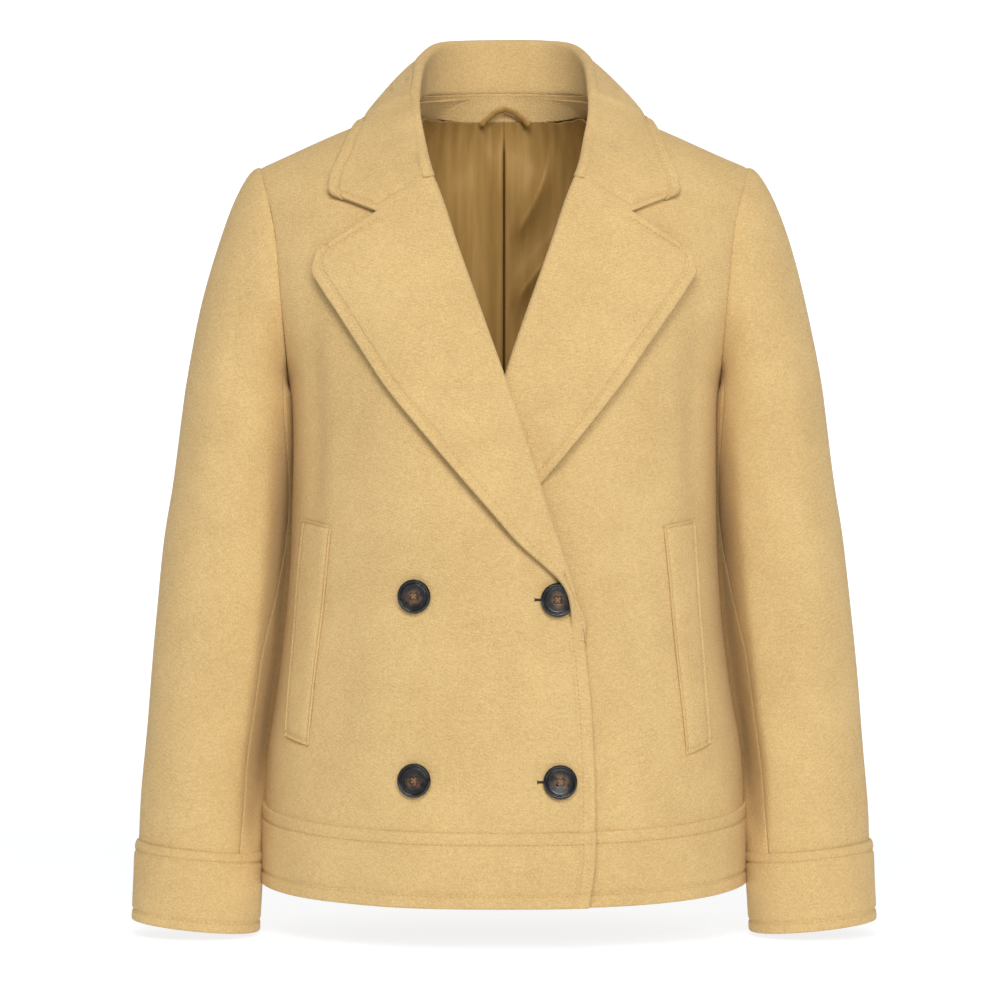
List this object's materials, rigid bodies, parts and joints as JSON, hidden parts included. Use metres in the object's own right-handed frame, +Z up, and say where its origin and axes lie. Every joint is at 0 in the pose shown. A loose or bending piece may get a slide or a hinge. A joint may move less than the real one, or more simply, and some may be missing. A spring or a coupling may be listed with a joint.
{
  "type": "pea coat",
  "caption": "Cropped double-breasted pea coat in camel wool with notched lapels, banded hem and cuffs and horn buttons, held up and filled out empty",
  "frame": {"origin": "inside the neck at the height of the shoulders, midway across, where the wearer's neck and shoulders hold the coat up", "axes": "+Z up, the coat's front faces -Y, the wearer's left side is +X"},
  "size_m": [0.5908, 0.2422, 0.7228],
  "materials": {
    "wool": "brushed camel wool melton with a short fuzzy nap, matt",
    "lining": "bronze satin lining with a soft sheen",
    "button": "polished dark horn with a brown mottled centre"
  },
  "bodies": {
    "root": {"back": "wool", "band_back": "wool", "neck_facing": "wool", "lining_back": "lining", "hanger_loop": "lining", "collar": "wool", "front_right": "wool", "band_right": "wool", "lapel_right": "wool", "welt_right": "wool", "sleeve_top_right": "wool", "sleeve_under_right": "wool", "cuff_right": "wool", "front_left": "wool", "band_left": "wool", "lapel_left": "wool", "welt_left": "wool", "sleeve_top_left": "wool", "sleeve_under_left": "wool", "cuff_left": "wool", "button_1": "button", "button_2": "button", "button_3": "button", "button_4": "button"}
  },
  "joints": []
}
